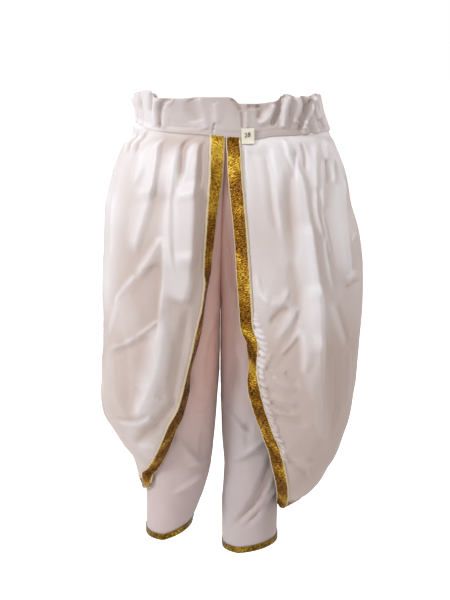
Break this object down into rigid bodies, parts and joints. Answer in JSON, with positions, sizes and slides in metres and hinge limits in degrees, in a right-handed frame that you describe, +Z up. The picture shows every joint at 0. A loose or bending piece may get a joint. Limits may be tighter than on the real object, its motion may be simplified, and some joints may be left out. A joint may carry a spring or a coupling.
{
  "type": "dhoti pants",
  "caption": "Pull-on dhoti pants for a small child, open as worn: elastic waistband, a pleated drape over each leg edged with woven lace, and narrow inner legs with laced hems.",
  "frame": {"origin": "centre of the waist opening, half way up the waistband, where a wearer holds the garment up", "axes": "+X to the wearer's left, -Y out of the front, +Z up"},
  "size_m": [0.3186, 0.2076, 0.5692],
  "materials": {
    "white_satin": "white satin-weave cloth",
    "white_satin_plain": "the same cloth, plain, on the inner legs",
    "gold_lace": "woven lace of gold-coloured metallic yarn",
    "label_tape": "cream woven tape"
  },
  "bodies": {
    "root": {"waistband": "white_satin", "drape_right": "white_satin", "drape_left": "white_satin", "inner_leg_right": "white_satin_plain", "inner_leg_left": "white_satin_plain", "border_right": "gold_lace", "border_left": "gold_lace", "hem_border_right": "gold_lace", "hem_border_left": "gold_lace", "size_label": "label_tape"}
  },
  "joints": []
}
